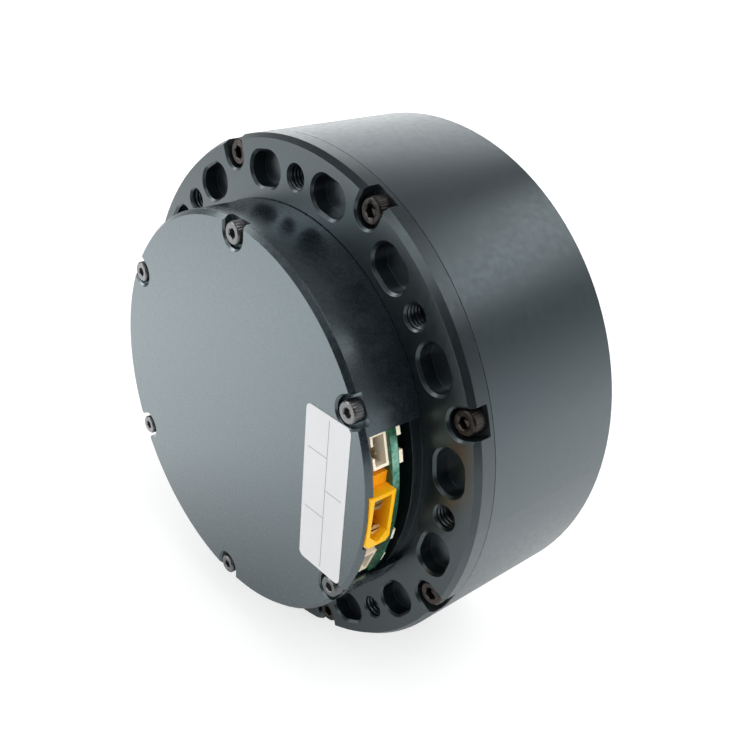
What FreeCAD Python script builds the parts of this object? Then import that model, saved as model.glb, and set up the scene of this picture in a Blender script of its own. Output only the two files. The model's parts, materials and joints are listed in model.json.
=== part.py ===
import FreeCAD, Part
import math
import os

# A robot joint actuator: an outrunner motor with its drive board behind it and a
# single planetary stage nested inside the stator.  The output axis is +Y, +Z is up,
# and the origin is the centre of the rear mounting flange face.  Angles are in
# degrees round the axis, from +X (the connector window) towards +Z.

# ---- Body of the actuator ----
flange_thickness = 4.1
rim_chamfer_width = 0.65
rim_chamfer_length = 1.2
shell_wall = 5.0
front_plate = 5.0
front_edge_chamfer = 1.0
register_depth = 2.0
register_width = 3.4

# ---- Rear mounting pattern in the flange ----
mount_count = 8
mount_edge = 5.75
mount_hole_radius = 2.0
mount_hole_depth = 3.7
mount_countersink = 0.35
pocket_radius = 2.9
pocket_stretch = 2.15
pocket_chamfer = 0.45
pocket_depth = 3.0
pocket_offset_angle = 11.25

# ---- Flange screws, M2.5, in notches open at the rim ----
flange_screw_count = 8
flange_screw_edge = 2.7
flange_notch_radius = 2.55
flange_notch_chamfer = 0.4
flange_notch_depth = 3.3
m25_radius = 1.25
m25_head_radius = 2.25
m25_head_height = 2.5
m25_head_chamfer = 0.35
m25_key = 2.0
flange_screw_length = 10.0
socket_share = 0.55

# ---- Rear cap, a cup with six notched screw bosses and a connector window ----
flange_land = 10.6
board_room = 3.1
cap_seat = 0.3
cap_seat_gap = 0.12
cap_plate = 2.6
cap_wall = 0.9
cap_chamfer_width = 0.75
cap_chamfer_length = 0.9
cap_screw_count = 6
cap_screw_edge = 2.2
cap_boss_radius = 3.3
cap_notch_radius = 2.6
cap_notch_chamfer = 0.35
cap_notch_depth = 1.85
cap_screw_length = 14.0
m2_radius = 1.0
m2_head_radius = 1.9
m2_head_height = 2.0
m2_head_chamfer = 0.25
m2_key = 1.5
window_half_width = 14.9
window_reach = 9.4
window_lip = 1.05

# ---- Rear housing inside the cap ----
spigot_width = 5.9
spigot_height = 1.8
web_thickness = 3.5
bearing_boss_radius = 10.5

# ---- Drive board ----
standoff_height = 5.5
standoff_radius = 2.4
standoff_count = 4
standoff_circle = 24.0
board_thickness = 1.6
board_edge_gap = 0.5
board_tab_reach = 0.65
board_screw_length = 5.0
board_screw_head = 1.3

# ---- Connectors on the board ----
hood_width = 10.1
hood_height = 5.15
hood_setback = 0.2
hood_length = 2.4
hood_wall = 0.75
hood_depth = 6.0
hood_corner = 1.5
hood_centre = 0.3
hood_core_length = 6.0
ear_length = 2.8
ear_width = 14.4
ear_height = 3.2
power_pin_radius = 1.0
power_pin_pitch = 5.0
power_pin_recess = 0.9
power_pin_seat = 2.0
power_pin_slot = 0.35
power_pin_solid = 1.0
signal_angle = 18.5
signal_setback = 1.45
signal_width = 5.8
signal_height = 3.25
signal_depth = 4.0
signal_wall = 0.5
signal_cavity = 3.4
signal_pin_size = 0.45
signal_pin_pitch = 1.25
signal_pin_count = 4
anchor_width = 2.2
anchor_depth = 1.1
anchor_height = 1.15
anchor_inset = 0.4
anchor_angles = (22.3, 15.0, -9.5, -19.5)

# ---- Packages on the board ----
switch_edge = 8.5
switch_length = 6.0
switch_width = 5.0
switch_height = 1.0
switch_angles = (-62, -30, -12, 12, 30, 62)
capacitor_circle = 21.0
capacitor_length = 2.5
capacitor_width = 3.2
capacitor_height = 1.8
capacitor_angles = (-22, -10, 10, 22)
controller_circle = 8.0
controller_angle = 60.0
controller_side = 9.0
controller_height = 1.2
driver_circle = 14.0
driver_angle = 180.0
driver_side = 7.0
driver_height = 0.9
regulator_circle = 25.0
regulator_angle = 270.0
regulator_side = 6.5
regulator_height = 2.2
transceiver_circle = 24.0
transceiver_angle = 18.0
transceiver_length = 5.0
transceiver_width = 4.0
transceiver_height = 1.4
encoder_chip_length = 5.0
encoder_chip_width = 4.0

# ---- Rotor ----
shaft_radius = 4.0
rotor_end_gap = 1.1
rotor_web = 1.8
rotor_boss_radius = 9.0
rotor_boss_height = 0.4
rotor_wall_gap = 0.6
yoke_thickness = 2.2
yoke_overhang = 1.3
magnet_count = 28
magnet_thickness = 1.8
magnet_share = 0.86
magnet_overhang = 1.0
air_gap = 0.6
web_hole_count = 6
web_hole_radius = 5.0
web_hole_circle = 25.0
encoder_magnet_radius = 3.0
encoder_magnet_length = 2.5
encoder_gap = 0.8
encoder_chip_height = 1.0

# ---- Stator ----
slot_count = 24
stack_length = 12.0
stator_back = 2.5
tooth_length = 6.0
tooth_width = 2.8
shoe_thickness = 1.4
shoe_share = 0.8
coil_thickness = 1.9
coil_overhang = 2.3
coil_corner = 1.0
coil_end_gap = 1.2
lead_radius = 0.8
lead_count = 3
lead_spacing = 2.1
front_lead_space = 2.8

# ---- Planetary gear stage ----
gear_module = 0.8
sun_teeth = 12
planet_teeth = 24
planet_count = 3
pressure_angle = 25.0
addendum = 0.8
dedendum = 1.0
flank_backlash = 0.05
gear_width = 9.4
ring_wall = 2.2
hub_wall = 2.3
planet_bore = 4.0
pin_radius = 2.5
sun_bore = 2.5
carrier_gap = 0.8
carrier_plate_thickness = 2.6
carrier_rim_gap = 1.96
gear_end_gap = 0.4
pillar_radius = 4.0
pillar_offset = 2.9
m3_radius = 1.5
m3_head_radius = 2.9
m3_head_height = 1.6
m3_key = 2.0
carrier_screw_length = 8.0

# ---- Output side ----
output_disc = 2.4
output_proud = 1.4
bearing_seat_step = 1.4
output_bearing_width = 7.0
output_ball_radius = 1.6
output_ball_count = 16
race_thickness = 2.0
race_gap = 2.0
bearing_shoulder = 1.4
retainer_thickness = 2.6
retainer_edge = 2.8
retainer_lip = 3.6
retainer_screw_count = 8
retainer_screw_offset = 2.2
retainer_screw_length = 7.0
m25_flat_head_radius = 2.2
m25_flat_head_height = 1.3
m25_flat_key = 1.5
snap_ring_thickness = 0.9
snap_ring_width = 2.0
snap_groove_depth = 0.6
seal_thickness = 1.4
output_neck_step = 0.2
output_pilot_radius = 8.0
output_pilot_depth = 3.0
output_hole_count = 6
output_hole_radius = 2.0
output_hole_depth = 7.0
output_hole_circle = 14.0
dowel_radius = 1.5
dowel_depth = 5.0
dowel_count = 3
front_mount_count = 8
front_mount_edge = 9.0
front_mount_depth = 4.2

# ---- Small bearings ----
rear_bearing_outer_radius = 8.0
rear_bearing_width = 5.0
pilot_shaft_radius = 2.0
pilot_bearing_outer_radius = 4.5
pilot_bearing_width = 4.0
small_race = 1.1
shield_thickness = 0.4

# ---- Clearances ----
thread_gap = 0.03
screw_gap = 0.1
slide_gap = 0.07
running_gap = 0.04
seal_gap = 0.06
part_gap = 0.15
shield_gap = 0.12
wide_enough = 2.0
join_overlap = 0.5
bearing_lip_reach = 1.58
shoulder_rise = 0.88
pilot_race = 0.825

# ---- Radii that follow from the sizes above ----
ring_teeth = sun_teeth + 2 * planet_teeth
sun_pitch_radius = gear_module * sun_teeth / 2
planet_pitch_radius = gear_module * planet_teeth / 2
ring_pitch_radius = gear_module * ring_teeth / 2
planet_circle = sun_pitch_radius + planet_pitch_radius
ring_outer = ring_pitch_radius + dedendum * gear_module + ring_wall
hub_outer = ring_outer + hub_wall
stator_outer = hub_outer + stator_back + tooth_length
magnet_inner = stator_outer + air_gap
yoke_inner = magnet_inner + magnet_thickness
yoke_outer = yoke_inner + yoke_thickness
shell_bore = yoke_outer + rotor_wall_gap
body_radius = shell_bore + shell_wall
mount_circle = body_radius - mount_edge
flange_screw_circle = body_radius - flange_screw_edge
front_mount_circle = body_radius - front_mount_edge
cap_radius = body_radius - flange_land
cap_screw_circle = cap_radius - cap_screw_edge
hood_face = cap_radius - hood_setback
signal_face = cap_radius - signal_setback
cap_inner = cap_radius - cap_wall
spigot_outer = cap_inner - slide_gap
spigot_inner = spigot_outer - spigot_width
board_radius = cap_inner - board_edge_gap
switch_circle = board_radius - switch_edge
carrier_radius = ring_pitch_radius - addendum * gear_module - carrier_rim_gap
pillar_circle = planet_circle + pillar_offset
output_bearing_bore = carrier_radius - bearing_seat_step
output_bearing_outer_radius = output_bearing_bore + 2 * race_thickness + race_gap
retainer_bore = output_bearing_outer_radius - retainer_lip
retainer_screw_circle = output_bearing_outer_radius + retainer_screw_offset
retainer_radius = retainer_screw_circle + retainer_edge

# ---- Places along the axis that follow from the sizes above ----
web_rear = flange_thickness - web_thickness
board_front = web_rear - standoff_height
board_rear = board_front - board_thickness
cap_height = board_room + cap_plate - board_rear
rotor_web_rear = flange_thickness + register_depth + rotor_end_gap
rotor_web_front = rotor_web_rear + rotor_web
coil_rear = rotor_web_front + coil_end_gap
stack_rear = coil_rear + coil_overhang
stack_front = stack_rear + stack_length
coil_front = stack_front + coil_overhang
carrier_rear = rotor_web_front + carrier_gap
carrier_front = carrier_rear + carrier_plate_thickness
gear_rear = carrier_front + gear_end_gap
gear_front = gear_rear + gear_width
output_rear = gear_front + gear_end_gap
motor_front = coil_front + front_lead_space + front_plate
gear_stage_front = output_rear + output_disc + output_bearing_width + retainer_thickness
body_front = max(motor_front, gear_stage_front)
plate_inner = body_front - front_plate
output_bearing_front = body_front - retainer_thickness
output_bearing_rear = output_bearing_front - output_bearing_width
output_face = body_front + output_proud
yoke_front = stack_front + yoke_overhang
rear_bearing_front = flange_thickness
rear_bearing_rear = rear_bearing_front - rear_bearing_width
lead_level = coil_front + lead_radius + part_gap * 2

AXIS = FreeCAD.Vector(0, 1, 0)
ORIGIN = FreeCAD.Vector(0, 0, 0)
FULL_TURN = 360.0


# ---- Shape helpers ----
def at_angle(radius, degrees):
    """X and Z of a point on a circle round the axis."""
    turn = math.radians(degrees)
    return radius * math.cos(turn), radius * math.sin(turn)


def face_of(points):
    """Flat face from corner points, closed back to the first."""
    return Part.Face(Part.makePolygon(points + [points[0]]))


def turned(profile, degrees=FULL_TURN):
    """Solid of revolution about the axis from (radius, y) corners."""
    points = [FreeCAD.Vector(radius, y, 0) for radius, y in profile]
    return face_of(points).revolve(ORIGIN, AXIS, degrees)


def tube(inner, outer, rear, front):
    return turned([(inner, rear), (outer, rear), (outer, front), (inner, front)])


def rod(radius, rear, front, x=0.0, z=0.0):
    return Part.makeCylinder(radius, front - rear, FreeCAD.Vector(x, rear, z), AXIS)


def cone(rear_radius, front_radius, rear, front, x=0.0, z=0.0):
    return Part.makeCone(rear_radius, front_radius, front - rear, FreeCAD.Vector(x, rear, z), AXIS)


def block(x0, x1, y0, y1, z0, z1):
    return Part.makeBox(x1 - x0, y1 - y0, z1 - z0, FreeCAD.Vector(x0, y0, z0))


def swung(shape, degrees):
    """Copy turned about the axis by an angle from +X towards +Z."""
    copy = shape.copy()
    copy.rotate(ORIGIN, AXIS, -degrees)
    return copy


def moved(shape, x=0.0, y=0.0, z=0.0):
    copy = shape.copy()
    copy.translate(FreeCAD.Vector(x, y, z))
    return copy


def ring_of(shape, count, first_angle):
    """Copies of a shape built on the +X side, spread evenly round the axis."""
    return [swung(shape, first_angle + FULL_TURN * i / count) for i in range(count)]


def group(shapes):
    return Part.makeCompound(shapes)


def hexagon(across_flats, rear, front):
    """Hexagonal bar along the axis."""
    corner = across_flats / math.sqrt(3)
    points = [FreeCAD.Vector(corner * math.cos(k * math.pi / 3), rear, corner * math.sin(k * math.pi / 3))
              for k in range(6)]
    return face_of(points).extrude(FreeCAD.Vector(0, front - rear, 0))


def socket_screw(radius, length, head_radius, head_height, head_chamfer, key):
    """Cap screw whose head seats at y = 0 and whose shank points along +Y."""
    body = turned([(0.0, -head_height), (head_radius - head_chamfer, -head_height),
                   (head_radius, head_chamfer - head_height), (head_radius, 0.0),
                   (radius, 0.0), (radius, length), (0.0, length)])
    return body.cut(hexagon(key, -head_height, head_height * (socket_share - 1.0)))


def flat_screw(radius, length, head_radius, head_height, key):
    """Countersunk screw whose flat top is at y = 0 and whose shank points along +Y."""
    head = cone(head_radius, radius, 0.0, head_height).cut(hexagon(key, 0.0, head_height * socket_share))
    return head.fuse(rod(radius, head_height, length)).removeSplitter()


def facing_rear(shape):
    """Copy turned end for end, so that what pointed along +Y points along -Y."""
    copy = shape.copy()
    copy.rotate(ORIGIN, FreeCAD.Vector(1, 0, 0), 180)
    return copy


def shielded_outer_race(inner, outer, rear, width, inner_race_outer):
    """Outer ring of a small bearing with its two shields, one solid."""
    race = outer - small_race
    shield = inner_race_outer + shield_gap
    front = rear + width
    return turned([(outer, rear), (shield, rear), (shield, rear + shield_thickness), (race, rear + shield_thickness),
                   (race, front - shield_thickness), (shield, front - shield_thickness),
                   (shield, front), (outer, front)])


# ---- Involute gears ----
def involute(angle):
    return math.tan(angle) - angle


def tooth_half_angle(radius, teeth, thinning):
    """Half of the angle that a tooth fills at a radius, thinned at the pitch circle."""
    pitch_radius = gear_module * teeth / 2
    base_radius = pitch_radius * math.cos(math.radians(pressure_angle))
    slope = math.acos(min(1.0, base_radius / radius))
    return math.pi / (2 * teeth) - thinning / pitch_radius + involute(math.radians(pressure_angle)) - involute(slope)


def gear_outline(teeth, tip_radius, root_radius, thinning, first_tooth):
    """Flat outline of an involute gear in the plane y = 0, as one face."""
    base_radius = gear_module * teeth / 2 * math.cos(math.radians(pressure_angle))
    flank_start = max(root_radius, base_radius)
    steps = 4
    radii = [flank_start + (tip_radius - flank_start) * k / (steps - 1) for k in range(steps)]
    points = []
    for tooth in range(teeth):
        centre = math.radians(first_tooth + FULL_TURN * tooth / teeth)
        flank = [(radius, tooth_half_angle(radius, teeth, thinning)) for radius in radii]
        if root_radius < base_radius:
            flank.insert(0, (root_radius, flank[0][1]))
        for radius, half in flank:
            points.append(FreeCAD.Vector(radius * math.cos(centre - half), 0, radius * math.sin(centre - half)))
        for radius, half in reversed(flank):
            points.append(FreeCAD.Vector(radius * math.cos(centre + half), 0, radius * math.sin(centre + half)))
    return face_of(points)


def external_gear(teeth, rear, front, first_tooth):
    pitch_radius = gear_module * teeth / 2
    outline = gear_outline(teeth, pitch_radius + addendum * gear_module, pitch_radius - dedendum * gear_module,
                           flank_backlash / 2, first_tooth)
    return moved(outline.extrude(FreeCAD.Vector(0, front - rear, 0)), y=rear)


def internal_gear_cutter(rear, front, first_gap):
    """The hollow of the ring gear: a gear whose teeth are the ring's gaps."""
    outline = gear_outline(ring_teeth, ring_pitch_radius + dedendum * gear_module,
                           ring_pitch_radius - addendum * gear_module, -flank_backlash / 2, first_gap)
    return moved(outline.extrude(FreeCAD.Vector(0, front - rear, 0)), y=rear)


def planet_angle(index):
    """Where a planet sits round the axis; the first is at the top."""
    return 90.0 + FULL_TURN * index / planet_count


def planet_first_tooth(index):
    """Angle of a planet tooth that puts it in mesh with sun and ring teeth centred on +X."""
    place = planet_angle(index)
    return place + 180.0 - (180.0 - place * sun_teeth) / planet_teeth


# ---- Housing pieces ----
def make_motor_housing():
    shoulder = output_bearing_outer_radius - bearing_shoulder
    hub_rear = carrier_front - gear_end_gap
    recess = retainer_radius + slide_gap
    profile = [(body_radius, flange_thickness),
               (body_radius, body_front - front_edge_chamfer),
               (body_radius - front_edge_chamfer, body_front),
               (recess, body_front),
               (recess, output_bearing_front),
               (output_bearing_outer_radius, output_bearing_front),
               (output_bearing_outer_radius, output_bearing_rear),
               (shoulder, output_bearing_rear),
               (shoulder, output_rear),
               (ring_outer, output_rear),
               (ring_outer, hub_rear),
               (hub_outer, hub_rear),
               (hub_outer, plate_inner),
               (shell_bore, plate_inner),
               (shell_bore, flange_thickness)]
    body = turned(profile)
    channel_half = lead_spacing * lead_count / 2
    channel = block(shell_bore - join_overlap, shell_bore + lead_radius * 3, flange_thickness, plate_inner,
                    -channel_half, channel_half)
    cuts = [swung(channel, 180.0)]
    screw_tip = flange_notch_depth + flange_screw_length + part_gap
    flange_hole = rod(m25_radius + thread_gap, flange_thickness, screw_tip, x=flange_screw_circle)
    cuts += ring_of(flange_hole, flange_screw_count, 180.0 / flange_screw_count)
    retainer_tip = body_front - retainer_screw_length - part_gap
    retainer_hole = rod(m25_radius + thread_gap, retainer_tip, body_front, x=retainer_screw_circle)
    cuts += ring_of(retainer_hole, retainer_screw_count, 0.0)
    mount_hole = rod(mount_hole_radius, body_front - front_mount_depth, body_front, x=front_mount_circle)
    sink = cone(mount_hole_radius, mount_hole_radius + mount_countersink,
                body_front - mount_countersink, body_front, x=front_mount_circle)
    cuts += ring_of(mount_hole.fuse(sink), front_mount_count, 180.0 / front_mount_count)
    return body.cut(cuts)


def long_cutter(length, radius, chamfer, mouth, floor):
    """Round-ended cutter along +X from the axis, sunk from its mouth, with a chamfered edge."""
    wide = radius + chamfer
    cut_depth = mouth + chamfer
    corners = [(mouth, -wide), (mouth, wide), (cut_depth, radius), (floor, radius),
               (floor, -radius), (cut_depth, -radius)]
    middle = face_of([FreeCAD.Vector(0.0, y, z) for y, z in corners]).extrude(FreeCAD.Vector(length, 0, 0))
    end = turned([(0.0, mouth), (wide, mouth), (radius, cut_depth), (radius, floor), (0.0, floor)])
    return middle.fuse([end, moved(end, x=length)]).removeSplitter()


def oblong_pocket():
    """Pocket cutter on the +X side, long across the radius."""
    cutter = moved(long_cutter(pocket_stretch, pocket_radius, pocket_chamfer, 0.0, pocket_depth),
                   x=-pocket_stretch / 2)
    return moved(swung(cutter, 90.0), x=mount_circle)


def open_notch(circle, radius, chamfer, mouth, floor, rim):
    """Round-ended notch on the +X side that runs out through the rim."""
    return moved(long_cutter(rim - circle + wide_enough, radius, chamfer, mouth, floor), x=circle)


def make_rear_housing():
    lip_bore = rear_bearing_outer_radius - bearing_lip_reach
    register_outer = shell_bore - slide_gap
    profile = [(lip_bore, -spigot_height),
               (bearing_boss_radius, -spigot_height),
               (bearing_boss_radius, web_rear),
               (spigot_inner, web_rear),
               (spigot_inner, -spigot_height),
               (spigot_outer, -spigot_height),
               (spigot_outer, cap_seat),
               (cap_radius + cap_seat_gap, cap_seat),
               (cap_radius + cap_seat_gap, 0.0),
               (body_radius - rim_chamfer_width, 0.0),
               (body_radius, rim_chamfer_length),
               (body_radius, flange_thickness),
               (register_outer, flange_thickness),
               (register_outer, flange_thickness + register_depth),
               (register_outer - register_width, flange_thickness + register_depth),
               (register_outer - register_width, flange_thickness),
               (rear_bearing_outer_radius, flange_thickness),
               (rear_bearing_outer_radius, rear_bearing_rear),
               (lip_bore, rear_bearing_rear)]
    body = turned(profile)
    hole = rod(mount_hole_radius, 0.0, mount_hole_depth, x=mount_circle)
    sink = cone(mount_hole_radius + mount_countersink, mount_hole_radius, 0.0, mount_countersink, x=mount_circle)
    cuts = ring_of(hole.fuse(sink), mount_count, 0.0)
    pocket = oblong_pocket()
    cuts += ring_of(pocket, mount_count, pocket_offset_angle)
    cuts += ring_of(pocket, mount_count, -pocket_offset_angle)
    notch = open_notch(flange_screw_circle, flange_notch_radius, flange_notch_chamfer, 0.0, flange_notch_depth,
                       body_radius)
    clearance = rod(m25_radius + screw_gap, 0.0, flange_thickness, x=flange_screw_circle)
    cuts += ring_of(notch, flange_screw_count, 180.0 / flange_screw_count)
    cuts += ring_of(clearance, flange_screw_count, 180.0 / flange_screw_count)
    scallop = rod(cap_boss_radius + part_gap, -spigot_height, cap_seat, x=cap_screw_circle)
    scallop = scallop.common(rod(cap_radius + cap_seat_gap, -spigot_height, cap_seat))
    scallop = scallop.fuse(block(cap_screw_circle, cap_radius, -spigot_height, cap_seat,
                                 -cap_boss_radius - part_gap, cap_boss_radius + part_gap))
    cap_thread = rod(m2_radius + thread_gap, 0.0, cap_screw_tip() + part_gap, x=cap_screw_circle)
    cuts += ring_of(scallop, cap_screw_count, 90.0)
    cuts += ring_of(cap_thread, cap_screw_count, 90.0)
    board_thread = rod(m2_radius + thread_gap, web_rear, flange_thickness, x=standoff_circle)
    cuts += ring_of(board_thread, standoff_count, 45.0)
    lead_hole = rod(lead_radius + part_gap, -spigot_height, flange_thickness, x=lead_entry())
    slot_half = lead_spacing * lead_count / 2
    slot = block(register_outer - register_width - join_overlap, register_outer + join_overlap, flange_thickness,
                 flange_thickness + register_depth, -slot_half, slot_half)
    cuts += [swung(moved(lead_hole, z=offset), 180.0) for offset in lead_offsets()]
    cuts.append(swung(slot, 180.0))
    return body.cut(cuts)


def cap_screw_tip():
    return cap_notch_depth - cap_height + cap_screw_length


def make_rear_cap():
    outer = turned([(0.0, -cap_height), (cap_radius - cap_chamfer_width, -cap_height),
                    (cap_radius, cap_chamfer_length - cap_height), (cap_radius, cap_seat), (0.0, cap_seat)])
    hollow = rod(cap_inner, cap_plate - cap_height, cap_seat)
    boss = rod(cap_boss_radius, cap_plate - cap_height, cap_seat, x=cap_screw_circle)
    hollow = hollow.cut(ring_of(boss, cap_screw_count, 90.0))
    cuts = [hollow]
    notch = open_notch(cap_screw_circle, cap_notch_radius, cap_notch_chamfer, -cap_height,
                       cap_notch_depth - cap_height, cap_radius)
    hole = rod(m2_radius + screw_gap, -cap_height, cap_seat, x=cap_screw_circle)
    cuts += ring_of(notch, cap_screw_count, 90.0)
    cuts += ring_of(hole, cap_screw_count, 90.0)
    window_rear = window_lip - cap_height
    cuts.append(block(cap_radius - window_reach, cap_radius + wide_enough, window_rear, cap_seat,
                      -window_half_width, window_half_width))
    relief_half = hood_width / 2 + part_gap
    cuts.append(block(cap_radius - window_reach, cap_radius + wide_enough,
                      board_rear - hood_height - part_gap, cap_seat,
                      hood_centre - relief_half, hood_centre + relief_half))
    return outer.cut(cuts)


def make_cap_screws():
    screw = socket_screw(m2_radius, cap_screw_length, m2_head_radius, m2_head_height, m2_head_chamfer, m2_key)
    screw = moved(screw, x=cap_screw_circle, y=cap_notch_depth - cap_height)
    return group(ring_of(screw, cap_screw_count, 90.0))


def make_flange_screws():
    screw = socket_screw(m25_radius, flange_screw_length, m25_head_radius, m25_head_height,
                         m25_head_chamfer, m25_key)
    screw = moved(screw, x=flange_screw_circle, y=flange_notch_depth)
    return group(ring_of(screw, flange_screw_count, 180.0 / flange_screw_count))


# ---- Drive board and what it carries ----
def make_driver_board():
    disc = rod(board_radius, board_rear, board_front)
    tab_half = window_half_width - board_edge_gap
    tab = rod(board_radius + board_tab_reach, board_rear, board_front)
    tab = tab.common(block(0.0, cap_radius, board_rear, board_front, -tab_half, tab_half))
    board = disc.fuse(tab).removeSplitter()
    notch = rod(cap_boss_radius + board_edge_gap, board_rear, board_front, x=cap_screw_circle)
    hole = rod(m2_radius + screw_gap, board_rear, board_front, x=standoff_circle)
    return board.cut(ring_of(notch, cap_screw_count, 90.0) + ring_of(hole, standoff_count, 45.0))


def make_board_standoffs():
    post = tube(m2_radius + thread_gap, standoff_radius, board_front, web_rear)
    return group(ring_of(moved(post, x=standoff_circle), standoff_count, 45.0))


def make_board_screws():
    screw = rod(m2_head_radius, -board_screw_head, 0.0).cut(hexagon(m2_key, -board_screw_head, -board_screw_head / 2))
    screw = screw.fuse(rod(m2_radius, 0.0, board_screw_length)).removeSplitter()
    return group(ring_of(moved(screw, x=standoff_circle, y=board_rear), standoff_count, 45.0))


def chip(radius, angle, length, width, height):
    """Flat package on the cover side of the board, its length along the radius."""
    body = block(radius - length / 2, radius + length / 2, board_rear - height, board_rear, -width / 2, width / 2)
    return swung(body, angle)


def make_board_chips():
    packages = [chip(switch_circle, driver_angle + offset, switch_length, switch_width, switch_height)
                for offset in switch_angles]
    packages += [chip(capacitor_circle, driver_angle + offset, capacitor_length, capacitor_width,
                      capacitor_height) for offset in capacitor_angles]
    packages.append(chip(controller_circle, controller_angle, controller_side, controller_side,
                         controller_height))
    packages.append(chip(driver_circle, driver_angle, driver_side, driver_side, driver_height))
    packages.append(chip(regulator_circle, regulator_angle, regulator_side, regulator_side, regulator_height))
    packages.append(chip(transceiver_circle, transceiver_angle, transceiver_length, transceiver_width,
                         transceiver_height))
    packages.append(block(-encoder_chip_length / 2, encoder_chip_length / 2,
                          board_front, board_front + encoder_chip_height,
                          -encoder_chip_width / 2, encoder_chip_width / 2))
    return group(packages)


def make_power_connector():
    top = board_rear - hood_height
    low, high = hood_centre - hood_width / 2, hood_centre + hood_width / 2
    back = hood_face - hood_length
    corners = [(top, high), (board_rear, high), (board_rear, low + hood_corner / 2),
               (board_rear - hood_corner / 2, low), (top + hood_corner / 2, low), (top, low + hood_corner / 2)]
    hood = face_of([FreeCAD.Vector(back, y, z) for y, z in corners]).extrude(FreeCAD.Vector(hood_length, 0, 0))
    ear_half = ear_width / 2
    ears = block(back - ear_length, back, board_rear - ear_height, board_rear,
                 hood_centre - ear_half, hood_centre + ear_half)
    core = block(back - hood_core_length, back, top, board_rear, low + hood_corner, high)
    inner = [(top + hood_wall, high - hood_wall), (board_rear - hood_wall, high - hood_wall),
             (board_rear - hood_wall, low + hood_wall + hood_corner),
             (board_rear - hood_wall - hood_corner, low + hood_wall),
             (top + hood_wall + hood_corner, low + hood_wall), (top + hood_wall, low + hood_wall + hood_corner)]
    floor = hood_face - hood_depth
    cavity = face_of([FreeCAD.Vector(floor, y, z) for y, z in inner])
    cavity = cavity.extrude(FreeCAD.Vector(hood_depth, 0, 0))
    bores = [Part.makeCylinder(power_pin_radius, hood_depth, FreeCAD.Vector(power_pin_root(), y, z),
                               FreeCAD.Vector(1, 0, 0)) for y, z in power_pin_places()]
    return hood.fuse([ears, core]).removeSplitter().cut([cavity] + bores)


def power_pin_root():
    return hood_face - hood_depth - power_pin_seat


def power_pin_places():
    level = board_rear - hood_height / 2
    return [(level, hood_centre + side * power_pin_pitch / 2) for side in (-1, 1)]


def make_power_pins():
    root = power_pin_root()
    tip = hood_face - power_pin_recess
    pins = []
    for y, z in power_pin_places():
        pin = Part.makeCylinder(power_pin_radius, tip - root, FreeCAD.Vector(root, y, z), FreeCAD.Vector(1, 0, 0))
        half = power_pin_slot / 2
        slot = block(hood_face - hood_depth + power_pin_solid, tip,
                     y - power_pin_radius, y + power_pin_radius, z - half, z + half)
        pins.append(pin.cut(slot))
    return group(pins)


def signal_connector():
    """Small four-way shell on the +X side, open outwards."""
    top = board_rear - signal_height
    half = signal_width / 2
    shell = block(signal_face - signal_depth, signal_face, top, board_rear, -half, half)
    cavity = block(signal_face - signal_cavity, signal_face, top + signal_wall, board_rear - signal_wall,
                   -half + signal_wall, half - signal_wall)
    key_half = signal_width / 6
    key = block(signal_face - signal_cavity, signal_face, top, top + signal_wall, -key_half, key_half)
    return shell.cut([cavity, key])


def make_signal_connectors():
    return group([swung(signal_connector(), side * signal_angle) for side in (-1, 1)])


def make_signal_pins():
    level = board_rear - signal_height / 2
    half = signal_pin_size / 2
    first = -signal_pin_pitch * (signal_pin_count - 1) / 2
    pins = []
    for index in range(signal_pin_count):
        z = first + signal_pin_pitch * index
        pins.append(block(signal_face - signal_cavity, signal_face - signal_wall * 2,
                          level - half, level + half, z - half, z + half))
    return group([swung(pin, side * signal_angle) for side in (-1, 1) for pin in pins])


def make_connector_anchors():
    """Locating pegs of the sockets where they come through to the far side of the board."""
    outer = board_radius + board_tab_reach - anchor_inset
    peg = block(outer - anchor_depth, outer, board_front, board_front + anchor_height,
                -anchor_width / 2, anchor_width / 2)
    return group([swung(peg, angle) for angle in anchor_angles])


# ---- Stator ----
def make_stator_core():
    back_outer = hub_outer + stator_back
    shoe_inner = stator_outer - shoe_thickness
    tooth_pitch = FULL_TURN / slot_count
    back = tube(hub_outer, back_outer, stack_rear, stack_front)
    tooth = block(back_outer - join_overlap, shoe_inner + join_overlap, stack_rear, stack_front,
                  -tooth_width / 2, tooth_width / 2)
    shoe = turned([(shoe_inner, stack_rear), (stator_outer, stack_rear),
                   (stator_outer, stack_front), (shoe_inner, stack_front)], tooth_pitch * shoe_share)
    shoe = swung(shoe, tooth_pitch * shoe_share / 2)
    return back.fuse(ring_of(tooth, slot_count, 0.0) + ring_of(shoe, slot_count, 0.0)).removeSplitter()


def make_stator_windings():
    inner = hub_outer + stator_back + part_gap
    half = tooth_width / 2 + running_gap
    wide = half + coil_thickness
    outer = math.sqrt((stator_outer - shoe_thickness) ** 2 - wide ** 2) - part_gap
    outline = [(coil_rear, wide - coil_corner), (coil_rear + coil_corner, wide),
               (coil_front - coil_corner, wide), (coil_front, wide - coil_corner),
               (coil_front, coil_corner - wide), (coil_front - coil_corner, -wide),
               (coil_rear + coil_corner, -wide), (coil_rear, coil_corner - wide)]
    body = face_of([FreeCAD.Vector(inner, y, z) for y, z in outline])
    body = body.extrude(FreeCAD.Vector(outer - inner, 0, 0))
    tooth = block(inner, outer, stack_rear - running_gap, stack_front + running_gap, -half, half)
    return group(ring_of(body.cut(tooth), slot_count, 0.0))


def lead_offsets():
    return [lead_spacing * (index - (lead_count - 1) / 2) for index in range(lead_count)]


def lead_entry():
    """Radius at which the phase leads pass through the spigot to the board."""
    return spigot_inner + spigot_width / 2


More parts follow.
